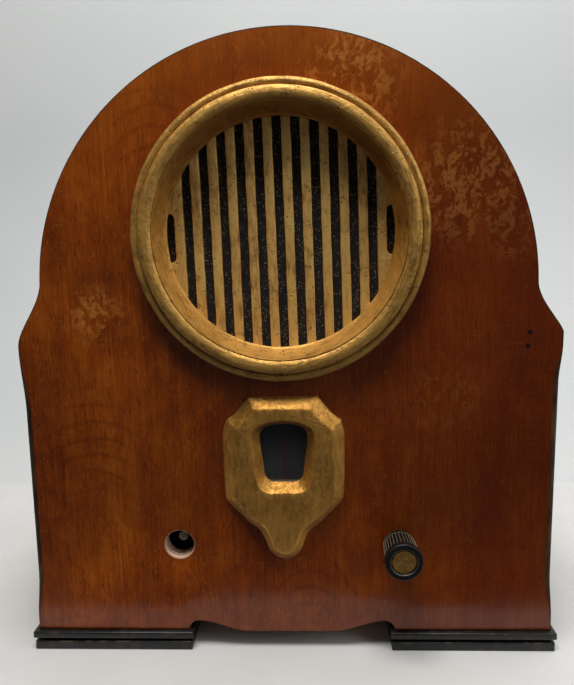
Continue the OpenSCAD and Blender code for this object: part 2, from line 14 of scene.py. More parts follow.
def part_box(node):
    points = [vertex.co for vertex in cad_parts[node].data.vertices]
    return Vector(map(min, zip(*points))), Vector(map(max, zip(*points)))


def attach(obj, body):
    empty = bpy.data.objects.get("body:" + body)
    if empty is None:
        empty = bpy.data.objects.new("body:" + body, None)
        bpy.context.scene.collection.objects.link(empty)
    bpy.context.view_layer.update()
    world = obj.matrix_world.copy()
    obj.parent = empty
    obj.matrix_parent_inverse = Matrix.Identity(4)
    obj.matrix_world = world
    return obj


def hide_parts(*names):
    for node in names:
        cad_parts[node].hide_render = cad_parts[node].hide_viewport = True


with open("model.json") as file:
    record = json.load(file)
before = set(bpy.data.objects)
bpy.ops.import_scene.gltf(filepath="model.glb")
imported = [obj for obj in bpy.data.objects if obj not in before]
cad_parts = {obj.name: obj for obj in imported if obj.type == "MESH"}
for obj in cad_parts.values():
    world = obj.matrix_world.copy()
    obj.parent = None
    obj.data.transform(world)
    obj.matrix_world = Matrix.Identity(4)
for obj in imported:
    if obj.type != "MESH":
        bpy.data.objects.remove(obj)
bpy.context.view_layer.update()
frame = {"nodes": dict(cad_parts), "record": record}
MM = 0.001

# ---- places, from the CAD ----
panel_lo, panel_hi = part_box("front_panel")
wrap_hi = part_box("cabinet_wrap")[1]
cloth_lo, cloth_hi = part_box("grille_cloth")
slats_lo, slats_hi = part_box("grille_slats")
bezel_lo, bezel_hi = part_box("grille_bezel")
shield_lo, shield_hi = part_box("dial_escutcheon")
knob_lo, knob_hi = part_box("tuning_knob")
badge_lo, badge_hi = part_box("knob_badge")
disc_lo, disc_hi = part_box("dial_disc")
left_shaft_lo, left_shaft_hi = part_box("volume_shaft")

FRONT = panel_lo[1]
BACK = wrap_hi[1]
PANEL_T = panel_hi[1] - panel_lo[1]
HALF_W = (panel_hi[0] - panel_lo[0]) / 2
TOP = panel_hi[2]
ARCH_R = 149.5 * MM
ARCH_Z = TOP - ARCH_R
FOOT_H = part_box("foot_left_upper")[1][2]
FOOT_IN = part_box("foot_right_upper")[0][0]
TRIM_X = (bezel_lo[0] + bezel_hi[0]) / 2
GRILLE_Z = (bezel_lo[2] + bezel_hi[2]) / 2
BEZEL_R = (bezel_hi[0] - bezel_lo[0]) / 2
GRILLE_R = 68.5 * MM
DIAL_Z = shield_hi[2] - 37.8 * MM
RIGHT_X = (knob_lo[0] + knob_hi[0]) / 2
LEFT_X = (left_shaft_lo[0] + left_shaft_hi[0]) / 2
CONTROL_Z = (knob_lo[2] + knob_hi[2]) / 2
HOLE_R = 9.3 * MM
WRAP_T = 6 * MM
# Width and depth of the small arris all round the front.
ARRIS = 0.9 * MM


# ---- small helpers ----
def smooth(t):
    """A soft step from 0 to 1."""
    t = min(max(t, 0.0), 1.0)
    return t * t * (3 - 2 * t)


def paint(red, green, blue):
    """Linear colour of a paint given as it looks, 0 to 255."""

    def linear(shade):
        share = shade / 255
        return ((share + 0.055) / 1.055) ** 2.4 if shade > 10 else share / 12.92

    return linear(red), linear(green), linear(blue), 1.0


def linked(name, mesh, materials, sharp=30):
    """An object for a mesh, with its materials, its edges finished, placed in the scene."""
    piece = bpy.data.objects.new(name, mesh)
    bpy.context.scene.collection.objects.link(piece)
    for material in materials:
        mesh.materials.append(material)
    finish_edges(piece, sharp)
    return piece


def make_object(name, vertices, faces, materials, face_material=None, sharp=30):
    """A mesh object, smooth except along edges sharper than so many degrees."""
    mesh = bpy.data.meshes.new(name)
    mesh.from_pydata([tuple(v) for v in vertices], [], faces)
    mesh.update()
    if face_material:
        for face in mesh.polygons:
            face.material_index = face_material[face.index]
    return linked(name, mesh, materials, sharp)


def finish_edges(piece, sharp=30):
    """Turns faces outward, shades them smooth and marks the sharp edges."""
    shape = bmesh.new()
    shape.from_mesh(piece.data)
    bmesh.ops.recalc_face_normals(shape, faces=shape.faces)
    limit = math.radians(sharp)
    for face in shape.faces:
        face.smooth = True
    for edge in shape.edges:
        edge.smooth = len(edge.link_faces) == 2 and edge.calc_face_angle(0.0) < limit
    shape.to_mesh(piece.data)
    shape.free()


def strips(rings, closed=True, loop=False):
    """Quads between rings of equal length.

    closed joins the two ends of each ring, and loop joins the last ring to the first.
    """
    count = len(rings[0])
    faces = []
    pairs = len(rings) if loop else len(rings) - 1
    for i in range(pairs):
        j = (i + 1) % len(rings)
        for k in range(count if closed else count - 1):
            n = (k + 1) % count
            faces.append((i * count + k, i * count + n, j * count + n, j * count + k))
    return faces


def lathe(name, centre, profile, material, segments=160, loop=True, wobble=0.0, sharp=30):
    """A turned piece about a front-to-back axis, from (radius, depth) points; wobble roughens it."""
    rings = []
    for radius, depth in profile:
        ring = []
        for k in range(segments):
            angle = 2 * math.pi * k / segments
            r = radius
            if wobble and radius > 0:
                at = Vector((math.cos(angle) * 3, math.sin(angle) * 3, (radius + depth) * 60))
                r += wobble * noise.noise(at * 2.3)
            ring.append((centre[0] + r * math.cos(angle), depth, centre[1] + r * math.sin(angle)))
        rings.append(ring)
    vertices = [v for ring in rings for v in ring]
    return make_object(name, vertices, strips(rings, loop=loop), [material], sharp=sharp)


def pulled_in(points, distances, hole):
    """A closed loop of (x, z) points, each moved into the material beside it by its distance."""
    count = len(points)
    area = sum(points[i - 1][0] * points[i][1] - points[i][0] * points[i - 1][1] for i in range(count))
    side = (1 if area > 0 else -1) * (-1 if hole else 1)
    moved = []
    for i, (x, z) in enumerate(points):
        along = (Vector(points[(i + 1) % count]) - Vector(points[i - 1])).normalized()
        moved.append((x - along.y * side * distances[i], z + along.x * side * distances[i]))
    return moved


def pierced_plate(name, outline, holes, front, depth, materials, bevel, steps, sharp=18):
    """An upright flat plate with holes.

    bevel(x, z, hole) gives the width and depth of the cut along the front edges. steps is its section, in
    shares of both from the face to the side. The materials are those of the face, of the bevel and outer
    edge, and of the holes and back.
    """
    shape = bmesh.new()
    front_edges = []
    back_edges = []
    for index, points in enumerate([outline] + holes):
        hole = index > 0
        sizes = [bevel(x, z, hole) for x, z in points]
        rows = []
        for across, down in steps:
            near = pulled_in(points, [width * (1 - across) for width, _ in sizes], hole)
            row = []
            for (x, z), (_, drop) in zip(near, sizes):
                row.append(shape.verts.new((x, front + drop * down, z)))
            rows.append(row)
        rows.append([shape.verts.new((x, front + depth, z)) for x, z in points])
        count = len(points)
        for i in range(len(rows) - 1):
            for k in range(count):
                n = (k + 1) % count
                face = shape.faces.new((rows[i][k], rows[i][n], rows[i + 1][n], rows[i + 1][k]))
                face.material_index = 2 if hole else 1
        front_edges += [shape.edges.get((rows[0][k], rows[0][(k + 1) % count])) for k in range(count)]
        back_edges += [shape.edges.get((rows[-1][k], rows[-1][(k + 1) % count])) for k in range(count)]
    for edges, normal, kind in ((front_edges, (0, -1, 0), 0), (back_edges, (0, 1, 0), 2)):
        made = bmesh.ops.triangle_fill(shape, edges=edges, use_beauty=True, normal=normal)
        for item in made["geom"]:
            if isinstance(item, bmesh.types.BMFace):
                item.material_index = kind
    mesh = bpy.data.meshes.new(name)
    shape.to_mesh(mesh)
    shape.free()
    return linked(name, mesh, materials, sharp)


def circle(x, z, radius, count=96):
    """Points round a circle facing the front."""
    angles = [2 * math.pi * k / count for k in range(count)]
    return [(x + radius * math.cos(angle), z + radius * math.sin(angle)) for angle in angles]


# ---- materials ----
class Look:
    """A node material with short calls for the nodes that it is built from."""

    def __init__(self, name):
        self.material = bpy.data.materials.new(name)
        self.material.use_nodes = True
        self.tree = self.material.node_tree
        self.shader = self.tree.nodes["Principled BSDF"]
        self.place = self.add("ShaderNodeTexCoord").outputs["Object"]

    def add(self, kind, inputs=None, **settings):
        node = self.tree.nodes.new(kind)
        for key, value in settings.items():
            setattr(node, key, value)
        for key, value in (inputs or {}).items():
            self.put(node.inputs[key], value)
        return node

    def put(self, socket, value):
        if isinstance(value, bpy.types.NodeSocket):
            self.tree.links.new(value, socket)
        else:
            socket.default_value = value

    def stretch(self, x, y, z):
        return self.add("ShaderNodeMapping", {"Vector": self.place, "Scale": (x, y, z)}).outputs[0]

    def noise(self, scale=(1, 1, 1), detail=3.0, rough=0.5, warp=0.0):
        vector = self.stretch(*scale)
        inputs = {"Vector": vector, "Scale": 1.0, "Detail": detail, "Roughness": rough, "Distortion": warp}
        return self.add("ShaderNodeTexNoise", inputs).outputs[0]

    def cells(self, scale, feature="F1", output="Distance"):
        inputs = {"Vector": self.place, "Scale": scale}
        return self.add("ShaderNodeTexVoronoi", inputs, feature=feature).outputs[output]

    def math(self, operation, a, b=0.0, clamp=False):
        node = self.add("ShaderNodeMath", operation=operation, use_clamp=clamp)
        self.put(node.inputs[0], a)
        self.put(node.inputs[1], b)
        return node.outputs[0]

    def span(self, value, low, high, to_low=0.0, to_high=1.0):
        names = {"Value": value, "From Min": low, "From Max": high, "To Min": to_low, "To Max": to_high}
        return self.add("ShaderNodeMapRange", names, interpolation_type="SMOOTHSTEP").outputs[0]

    def ramp(self, value, stops):
        node = self.add("ShaderNodeValToRGB", {0: value})
        ramp = node.color_ramp
        while len(ramp.elements) < len(stops):
            ramp.elements.new(0.5)
        for element, (position, colour) in zip(ramp.elements, stops):
            element.position = position
            element.color = colour
        return node.outputs[0]

    def mix(self, factor, a, b, blend="MIX"):
        node = self.add("ShaderNodeMix", data_type="RGBA", blend_type=blend)
        self.put(node.inputs[0], factor)
        self.put(node.inputs[6], a)
        self.put(node.inputs[7], b)
        return node.outputs[2]

    def near(self, x, z, radius, soft):
        """1 within a radius of an upright line of sight at (x, z), falling to 0 over soft."""
        spot = self.add("ShaderNodeVectorMath", operation="MULTIPLY")
        self.put(spot.inputs[0], self.place)
        spot.inputs[1].default_value = (1, 0, 1)
        far = self.add("ShaderNodeVectorMath", operation="DISTANCE")
        self.put(far.inputs[0], spot.outputs[0])
        far.inputs[1].default_value = (x, 0, z)
        return self.span(far.outputs["Value"], radius, radius + soft, 1.0, 0.0)

    def axis(self, name):
        return self.add("ShaderNodeSeparateXYZ", {0: self.place}).outputs[name]

    def polar(self, x, z):
        """Distance from the front-to-back axis through (x, z), and the angle round it."""
        across = self.math("SUBTRACT", self.axis("X"), x)
        rise = self.math("SUBTRACT", self.axis("Z"), z)
        squares = self.math("ADD", self.math("MULTIPLY", across, across), self.math("MULTIPLY", rise, rise))
        return self.math("SQRT", squares), self.math("ARCTAN2", across, rise)

    def bump(self, height, distance, strength=1.0, under=None):
        inputs = {"Height": height, "Distance": distance, "Strength": strength}
        if under is not None:
            inputs["Normal"] = under
        return self.add("ShaderNodeBump", inputs).outputs[0]

    def finish(self, colour=None, rough=None, normal=None, **values):
        for key, value in (("Base Color", colour), ("Roughness", rough), ("Normal", normal)):
            if value is not None:
                self.put(self.shader.inputs[key], value)
        for key, value in values.items():
            self.shader.inputs[key.replace("_", " ")].default_value = value
        return self.material


# Arched figure in the veneer: X and Z of its middle, how tightly it bends and how far it reaches.
FIGURES = ((-0.122, 0.140, 11.0, 0.050), (0.012, 0.040, 30.0, 0.035), (-0.075, 0.330, 16.0, 0.040))
FIGURE_PITCH = 0.011
# Where the varnish has lifted: X and Z of the middle, radius, width of the soft rim, and strength.
WORN_SPOTS = (
    (0.110, 0.294, 0.014, 0.036, 1.0), (0.040, 0.353, 0.014, 0.024, 0.9), (-0.116, 0.219, 0.004, 0.020, 0.5),
    (0.134, 0.268, 0.006, 0.022, 0.7), (0.098, 0.166, 0.008, 0.026, 0.3),
)
PIN_HOLES = ((0.1452, 0.2052), (0.1443, 0.1968))


def figured(look, colour):
    """A veneer's colour with the dark lines of its arched figure."""
    for x, z, bend, reach in FIGURES:
        away = look.math("SUBTRACT", look.axis("X"), x)
        bow = look.math("MULTIPLY", look.math("MULTIPLY", away, away), -bend)
        arch = look.math("SUBTRACT", look.axis("Z"), bow)
        wander = look.math("MULTIPLY", look.noise((45, 45, 45), 3), 5.0)
        phase = look.math("MULTIPLY", arch, 2 * math.pi / FIGURE_PITCH)
        wave = look.math("SINE", look.math("ADD", phase, wander))
        line = look.math("MULTIPLY", look.span(wave, 0.55, 1.0, 0, 0.32), look.near(x, z, 0.004, reach))
        colour = look.mix(line, colour, paint(84, 26, 3))
    return colour


def worn_share(look):
    """How far the varnish has lifted, in a mottle round each worn spot."""
    mottle = look.span(look.noise((150, 150, 110), 7, 0.68, 1.0), 0.48, 0.56)
    mottle = look.math("MULTIPLY", mottle, look.span(look.noise((420, 420, 420), 3), 0.32, 0.50))
    worn = 0.0
    for x, z, radius, soft, share in WORN_SPOTS:
        worn = look.math("MAXIMUM", worn, look.math("MULTIPLY", look.near(x, z, radius, soft), share))
    return look.math("MULTIPLY", look.math("MULTIPLY", mottle, worn), 0.85)


def veneer_look(name, worn_front):
    """Orange-brown veneer under thin varnish: clouds, fine upright grain, arched figure and any wear."""
    look = Look(name)
    cloud = look.noise((15, 15, 8), 4, 0.58, 0.8)
    bands = look.noise((210, 210, 7), 3, 0.6)
    grain = look.noise((1150, 1150, 24), 4, 0.65)
    fleece = look.noise((90, 90, 60), 5, 0.6, 0.5)
    tone = look.math("MULTIPLY", cloud, 0.42)
    tone = look.math("ADD", tone, look.math("MULTIPLY", fleece, 0.22))
    tone = look.math("ADD", tone, look.math("MULTIPLY", bands, 0.12))
    tone = look.math("ADD", tone, look.math("MULTIPLY", grain, 0.24))
    stain = [(0.36, paint(92, 33, 2)), (0.46, paint(132, 55, 5)), (0.54, paint(158, 72, 8)),
             (0.64, paint(192, 100, 20))]
    colour = look.ramp(tone, stain)
    pores = look.span(look.noise((2100, 2100, 150), 2), 0.55, 0.68, 0, 0.55)
    colour = look.mix(pores, colour, paint(62, 20, 2))
    ticks = look.span(look.noise((700, 700, 330), 3, 0.6), 0.60, 0.70, 0, 0.35)
    colour = look.mix(ticks, colour, paint(206, 124, 40))
    colour = figured(look, colour)
    if worn_front:
        colour = look.mix(worn_share(look), colour, paint(232, 154, 70))
    # Painted shade deepens the colour towards the right, and painted light lifts it towards the top.
    side = look.span(look.axis("X"), -0.04, 0.14, 0, 0.72)
    colour = look.mix(side, colour, paint(90, 26, 2))
    colour = look.mix(look.span(look.axis("Z"), 0.27, 0.40, 0, 0.32), colour, paint(196, 106, 26))
    for x, z in PIN_HOLES:
        colour = look.mix(look.near(x, z, 0.0006, 0.0018), colour, paint(34, 12, 6))
    scratches = look.span(look.noise((50, 50, 1100), 2, 0.5, 0.8), 0.72, 0.76, 0, 0.3)
    colour = look.mix(scratches, colour, paint(206, 130, 62))
    rough = look.span(look.noise((30, 30, 30), 4), 0.3, 0.7, 0.17, 0.27)
    normal = look.bump(grain, 0.00008, 0.5)
    normal = look.bump(look.noise((26, 26, 16), 2), 0.0006, 0.35, normal)
    return look.finish(colour, rough, normal, Coat_Weight=0.05, Coat_Roughness=0.12, Specular_IOR_Level=0.42)


def gilt_look(name, light, deep, toning, brushed=None, metallic=0.4):
    """Aged gold paint: brushed on, toned brown in its hollows, pitted and specked, with painted shade
    deepening the hollows and the undersides.

    brushed is the X and Z of the axis that a ring was brushed round.
    """
    look = Look(name)
    patches = look.noise((44, 44, 44), 5, 0.62, 0.4)
    fine = look.noise((420, 420, 420), 4, 0.6)
    if brushed:
        far, turn = look.polar(*brushed)
        stroke = {"X": look.math("MULTIPLY", far, 900.0), "Y": look.math("MULTIPLY", turn, 9.0),
                  "Z": look.math("MULTIPLY", look.axis("Y"), 500.0)}
        vector = look.add("ShaderNodeCombineXYZ", stroke).outputs[0]
        inputs = {"Vector": vector, "Scale": 1.0, "Detail": 4.0, "Roughness": 0.65}
        brush = look.add("ShaderNodeTexNoise", inputs).outputs[0]
    else:
        brush = look.noise((480, 480, 110), 4, 0.65)
    tone = look.math("ADD", look.math("MULTIPLY", patches, 0.5), look.math("MULTIPLY", brush, 0.5))
    bright = tuple(min(1, c * 1.35) for c in light)
    colour = look.ramp(tone, [(0.34, deep), (0.50, light), (0.68, bright)])
    grime = look.span(look.noise((210, 210, 210), 6, 0.72), 0.54, 0.68, 0, toning)
    colour = look.mix(grime, colour, paint(104, 66, 26))
    # Painted shade: faces turned downward are mixed towards a dull red-brown.
    outward = look.add("ShaderNodeNewGeometry").outputs["Normal"]
    underside_shade_normal_z = look.add("ShaderNodeSeparateXYZ", {0: outward}).outputs["Z"]
    colour = look.mix(look.span(underside_shade_normal_z, -0.15, -0.75, 0, 0.65), colour, paint(120, 78, 46))
    # Brown toning in the hollows, deepened with painted shade where the recesses fall into shadow.
    hollow = look.add("ShaderNodeNewGeometry").outputs["Pointiness"]
    colour = look.mix(look.span(hollow, 0.485, 0.42, 0, 0.8), colour, paint(52, 32, 14))
    pits = look.span(look.cells(380), 0.10, 0.26, 1, 0)
    rare = look.span(look.noise((85, 85, 85), 3), 0.53, 0.60)
    pit = look.math("MULTIPLY", pits, rare)
    colour = look.mix(look.math("MULTIPLY", pit, 0.85), colour, paint(36, 20, 8))
    speck = look.span(look.cells(230), 0.06, 0.13, 1, 0)
    lucky = look.span(look.noise((47, 51, 53), 1), 0.64, 0.66)
    colour = look.mix(look.math("MULTIPLY", speck, lucky), colour, paint(240, 230, 205))
    relief = look.math("ADD", patches, look.math("MULTIPLY", fine, 0.4))
    normal = look.bump(look.math("ADD", relief, look.math("MULTIPLY", brush, 0.5)), 0.0014, 0.6)
    normal = look.bump(look.math("SUBTRACT", 1.0, pit), 0.0006, 0.5, normal)
    gloss = look.span(fine, 0.3, 0.7, 0.36, 0.56)
    return look.finish(colour, gloss, normal, Metallic=metallic, Specular_IOR_Level=0.5)


def plain_look(name, light, dark, rough=0.5, metallic=0.0, grain=(60, 60, 60), depth=0.0002, **values):
    """A surface mottled between two colours, with fine relief."""
    look = Look(name)
    tone = look.noise(grain, 5, 0.6)
    fine = look.noise(tuple(6 * g for g in grain), 3, 0.6)
    mottle = look.math("ADD", look.math("MULTIPLY", tone, 0.7), look.math("MULTIPLY", fine, 0.3))
    colour = look.ramp(mottle, [(0.32, dark), (0.66, light)])
    gloss = look.span(tone, 0.3, 0.7, max(rough - 0.08, 0.05), min(rough + 0.1, 1))
    return look.finish(colour, gloss, look.bump(fine, depth, 0.5), Metallic=metallic, **values)


def ply_look():
    """Pale plywood edge: layers stacked front to back."""
    look = Look("plywood_edge")
    layer = look.add("ShaderNodeTexWave", {"Vector": look.place, "Scale": 95.0, "Distortion": 0.4},
                     bands_direction="Y").outputs[1]
    colour = look.mix(look.span(layer, 0.25, 0.75), paint(196, 150, 118), paint(244, 222, 200))
    fleck = look.noise((300, 300, 300), 4)
    colour = look.mix(look.span(fleck, 0.55, 0.7, 0, 0.5), colour, paint(120, 84, 56))
    return look.finish(colour, 0.75, look.bump(fleck, 0.0003, 0.5))


def bark_edge_look():
    """Dark worn stain in the bevel and along the outer edges."""
    look = Look("dark_edge_stain")
    tone = look.noise((180, 180, 60), 5, 0.6)
    stain = [(0.35, paint(46, 31, 17)), (0.55, paint(76, 54, 32)), (0.72, paint(112, 82, 48))]
    colour = look.ramp(tone, stain)
    return look.finish(colour, 0.85, look.bump(tone, 0.0004, 0.4), Specular_IOR_Level=0.15)


def cloth_look():
    """Black grille cloth, plain weave, with a fine thread of metal in it whose glints are painted on as pale
    specks.
    """
    look = Look("grille_cloth_weave")
    thread_pitch = 0.0011
    across = look.math("SINE", look.math("MULTIPLY", look.axis("X"), 2 * math.pi / thread_pitch))
    upward = look.math("SINE", look.math("MULTIPLY", look.axis("Z"), 2 * math.pi / thread_pitch))
    weave = look.math("MULTIPLY", across, upward)
    glint = look.span(look.cells(850), 0.16, 0.36, 1, 0)
    often = look.span(look.noise((300, 300, 300), 2), 0.42, 0.56)
    colour = look.mix(look.span(weave, -1, 1), paint(10, 9, 8), paint(34, 30, 26))
    # Painted glints: pale specks where the metal thread catches the light.
    thread_glints = look.math("MULTIPLY", look.math("MULTIPLY", glint, often), 0.8)
    colour = look.mix(thread_glints, colour, paint(214, 190, 140))
    return look.finish(colour, 0.8, look.bump(weave, 0.0003, 0.8), Sheen_Weight=0.15)


def black_paint_look():
    """Black paint over wood, dusty on top and rubbed through at the arrises."""
    look = Look("black_foot_paint")
    tone = look.noise((40, 40, 160), 5, 0.6)
    colour = look.ramp(tone, [(0.35, paint(14, 13, 13)), (0.7, paint(30, 28, 27))])
    arris = look.span(look.add("ShaderNodeNewGeometry").outputs["Pointiness"], 0.53, 0.62, 0, 0.7)
    chips = look.span(look.noise((160, 160, 160), 4), 0.5, 0.62)
    colour = look.mix(look.math("MULTIPLY", arris, chips), colour, paint(124, 104, 84))
    return look.finish(colour, look.span(tone, 0.3, 0.7, 0.34, 0.52), look.bump(tone, 0.0004, 0.5))


def bakelite_look(name, light, dark, rough=0.28, coat=0.2, crest_light_from=-1.0):
    """Moulded bakelite, lighter along its ridges behind a given depth: partly rubbed wear, partly a painted
    highlight.
    """
    look = Look(name)
    swirl = look.noise((120, 120, 120), 4, 0.5, 1.2)
    colour = look.ramp(swirl, [(0.4, dark), (0.7, light)])
    # Rubbed wear and a painted highlight: the crests of the flutes are mixed towards a pale grey-brown.
    ridge = look.add("ShaderNodeNewGeometry").outputs["Pointiness"]
    crest_wear_and_highlight = look.math("MULTIPLY", look.span(ridge, 0.515, 0.56, 0, 0.75),
                       look.span(look.axis("Y"), crest_light_from, crest_light_from + 0.0004))
    colour = look.mix(crest_wear_and_highlight, colour, paint(158, 138, 114))
    return look.finish(colour, look.span(swirl, 0.3, 0.7, rough, rough + 0.14),
                       look.bump(look.noise((900, 900, 900), 3), 0.00006, 0.5), Coat_Weight=coat)


def glass_look(name, tint, rough=0.04, alpha=0.35):
    """Clear glass with a thin uneven film of dust."""
    look = Look(name)
    film = look.noise((60, 60, 60), 4)
    look.material.blend_method = "BLEND"
    return look.finish(tint, look.span(film, 0.4, 0.7, rough, rough + 0.12), look.bump(film, 0.00005, 0.2),
                       Transmission_Weight=0.9, Alpha=alpha, IOR=1.45)


def dial_look():
    """Dial card: slate blue lower down and nearly black at the top, where painted shadow stands for the
    shade of the shield's hood, with fine tick marks round its edge.
    """
    look = Look("dial_card")
    far, angle = look.polar((disc_lo[0] + disc_hi[0]) / 2, (disc_lo[2] + disc_hi[2]) / 2)
    tick = look.span(look.math("COSINE", look.math("MULTIPLY", angle, 100.0)), 0.90, 0.98)
    long_tick = look.span(look.math("COSINE", look.math("MULTIPLY", angle, 20.0)), 0.992, 0.998)
    # Both kinds of tick end at the same radius, and the long ones start further in.
    end = look.span(far, 0.0475, 0.0473)
    short_band = look.math("MULTIPLY", look.span(far, 0.0435, 0.0437), end)
    long_band = look.math("MULTIPLY", look.span(far, 0.0405, 0.0407), end)
    short_marks = look.math("MULTIPLY", tick, short_band)
    marks = look.math("MAXIMUM", short_marks, look.math("MULTIPLY", long_tick, long_band))
    # Painted shadow: the card falls to nearly black away from its middle, at the top of the window under the
    # shield's hood.
    base = look.mix(look.span(far, 0.040, 0.010), paint(12, 11, 11), paint(112, 116, 124))
    fleck = look.noise((200, 200, 200), 4)
    base = look.mix(look.span(fleck, 0.5, 0.7, 0, 0.3), base, paint(40, 48, 62))
    colour = look.mix(look.math("MULTIPLY", marks, 0.30), base, paint(170, 170, 160))
    return look.finish(colour, 0.6, look.bump(fleck, 0.0001, 0.3))


VENEER = veneer_look("varnished_veneer", True)
BODY_VENEER = veneer_look("body_veneer", False)
BODY_EDGE = plain_look("worn_ply_edge", paint(172, 130, 86), paint(116, 80, 48), 0.75, 0,
                       (160, 160, 160), 0.0004)
EDGE = bark_edge_look()
PLY = ply_look()
GILT = gilt_look("aged_gilt_ring", paint(220, 168, 84), paint(146, 100, 40), 0.6, (TRIM_X, GRILLE_Z), 0.55)
GILT_SHIELD = gilt_look("aged_gilt_shield", paint(216, 158, 74), paint(168, 114, 46), 0.2, None, 0.74)
GILT_SLAT = gilt_look("aged_gilt_slats", paint(244, 190, 104), paint(170, 120, 56), 0.6, None, 0.2)
CLOTH = cloth_look()
FOOT = black_paint_look()
KNOB = bakelite_look("knob_bakelite", paint(20, 15, 12), paint(9, 8, 7), 0.42, 0.0, knob_lo[1] + 3.6 * MM)
BADGE = plain_look("badge_brass", paint(178, 132, 58), paint(96, 66, 26), 0.5, 0.35, (420, 420, 420))
# The pale line round the knob's face.
RIM = plain_look("pale_rim_line", paint(150, 140, 124), paint(84, 72, 60), 0.4, 0.4, (300, 300, 300))


# ---- cabinet ----
# Each shoulder's lowest and highest point and how hollow its cove is: the right one is cut tighter.
SHOULDERS = {1: (205 * MM, 236 * MM, 0.7), -1: (200 * MM, 240 * MM, 0.85)}


def half_outline(side, inset=0.0):
    """Points from one foot up to the crown of the arch: side is 1 for the right, -1 for the left."""
    low, high, hollow = SHOULDERS[side]
    lean = math.asin((high - ARCH_Z) / ARCH_R)
    step_in = HALF_W - ARCH_R * math.cos(lean)
    wall_steps = 46
    cove_steps = 24
    arch_steps = 48
    start = low - 0.9 * inset
    points = []
    for i in range(wall_steps):
        points.append((side * (HALF_W - inset), FOOT_H + (start - FOOT_H) * i / wall_steps))
    for i in range(cove_steps + 1):
        t = i / cove_steps
        x = HALF_W - inset - step_in * smooth(t) ** hollow
        points.append((side * x, start + t * (high - low)))
    radius = ARCH_R - inset
    for i in range(1, arch_steps + 1):
        angle = lean + (math.pi / 2 - lean) * i / arch_steps
        points.append((side * radius * math.cos(angle), ARCH_Z + radius * math.sin(angle)))
    return points


def arched_outline(inset=0.0):
    """The whole outline above the feet, from the right foot over the top to the left foot."""
    return half_outline(1, inset) + half_outline(-1, inset)[-2::-1]


def skirt():
    """The lower edge from the left foot to the middle: a small cove, then a long reverse curve."""
    cove_r = 6 * MM
    cusp_x = FOOT_IN - 3.5 * MM
    cusp_z = FOOT_H + cove_r
    drop_z = FOOT_H - 1.2 * MM
    points = []
    for i in range(9):
        angle = math.radians(180 - 90 * i / 8)
        points.append((-cusp_x + cove_r * math.cos(angle), FOOT_H + cove_r * math.sin(angle)))
    for i in range(1, 15):
        t = i / 14
        points.append((-cusp_x + 32 * MM * t, cusp_z + (drop_z - cusp_z) * smooth(t)))
    return points


def panel_outline():
    """The whole outline of the front, from the left foot."""
    left = skirt()
    return left + [(-x, z) for x, z in reversed(left)] + arched_outline()


def window(grow):
    """The dial opening, narrow below and arched above, widened by grow millimetres."""
    half = [(9 + grow, -17 - grow), (11.8 + grow, -14.5), (14.8 + grow, 13), (13.6 + grow, 16.5 + grow / 2),
            (10 + grow / 2, 18.5 + grow * 0.7), (4, 20 + grow * 0.8)]
    points = half + [(-x, z) for x, z in reversed(half)]
    return [(TRIM_X + x * MM, DIAL_Z + z * MM) for x, z in points]


def chamfer(x, z):
    """Width and depth of the stopped bevel at a place on the front's side edge.

    It swells out of the plain arris and runs back into it, over a shorter stretch on the right.
    """
    low_stop = 0.020
    high_stop = 0.198
    run_out = 0.024 if x > 0 else 0.040
    swell = smooth((z - low_stop) / 0.030) * (1 - smooth((z - high_stop + run_out) / run_out))
    return ARRIS + 4.5 * MM * swell, ARRIS + 5.4 * MM * swell


def front_panel():
    """The front: veneer cut to a stopped bevel down each side, pierced for grille, dial and two shafts."""

    def bevel(x, z, hole):
        if hole:
            return 0.4 * MM, 0.4 * MM
        on_side = abs(x) > HALF_W - 0.1 * MM
        return chamfer(x, z) if on_side else (ARRIS, ARRIS)

    holes = [circle(TRIM_X, GRILLE_Z, GRILLE_R + 7.5 * MM), window(3)]
    holes += [circle(x, CONTROL_Z, HOLE_R, 64) for x in (LEFT_X, RIGHT_X)]
    steps = ((0.0, 0.0), (0.25, 0.06), (0.55, 0.25), (0.85, 0.62), (1.0, 1.0))
    materials = [VENEER, EDGE, PLY]
    piece = pierced_plate("veneered_front", panel_outline(), holes, FRONT, PANEL_T, materials, bevel, steps)
    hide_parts("front_panel")
    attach(piece, "cabinet")


def cabinet_shell():
    """The bent plywood body, open at the front, the back and between the feet."""
    outer = arched_outline()
    inner = arched_outline(WRAP_T)
    front = FRONT + PANEL_T
    arris = 0.8 * MM
    path = [(outer, front, 0), (outer, BACK - arris, 0), (outer, BACK, 0.5), (inner, BACK, 0),
            (inner, front, 0)]
    rings = []
    for points, y, shrink in path:
        pull = 1 - shrink * arris / HALF_W
        rings.append([(x * pull, y, z) for x, z in points])
    count = len(outer)
    faces = strips(rings, closed=False, loop=True)
    for end in (0, count - 1):
        faces.append(tuple(i * count + end for i in range(len(rings))))
    # Veneer outside, stain on the back arris, bare plywood on the back edge, inside and at both ends.
    kinds = []
    for i in range(len(rings)):
        kinds += [min(i, 2)] * (count - 1)
    kinds += [2, 2]
    vertices = [v for ring in rings for v in ring]
    piece = make_object("bent_plywood_body", vertices, faces, [BODY_VENEER, EDGE, BODY_EDGE], kinds, 35)
    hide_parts("cabinet_wrap")
    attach(piece, "cabinet")


